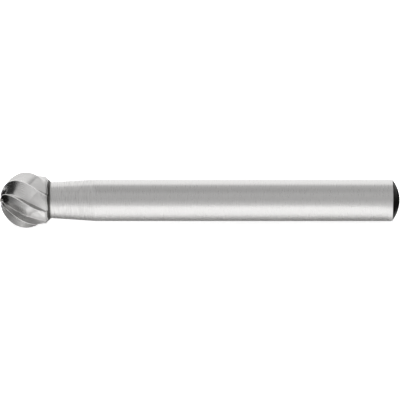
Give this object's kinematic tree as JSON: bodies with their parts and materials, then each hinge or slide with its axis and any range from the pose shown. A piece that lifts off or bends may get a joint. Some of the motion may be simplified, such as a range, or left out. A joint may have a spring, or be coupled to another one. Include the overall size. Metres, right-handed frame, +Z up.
{
  "type": "rotary burr",
  "caption": "Ball-nosed rotary burr of high-speed steel with helical milled teeth, a tapered neck and a plain round shank with a domed dark end.",
  "frame": {"origin": "middle of the tool's bounding box, on the surface that it lies on", "axes": "+Z up, +X along the tool towards the end of its shank, leaning down by the 0.9 degrees that the larger head gives it"},
  "size_m": [0.057, 0.0076, 0.0076],
  "materials": {
    "high_speed_steel": "ground high-speed steel, with dark heat-treatment scale left on the domed rear end"
  },
  "bodies": {
    "root": {"burr": "high_speed_steel"}
  },
  "joints": []
}
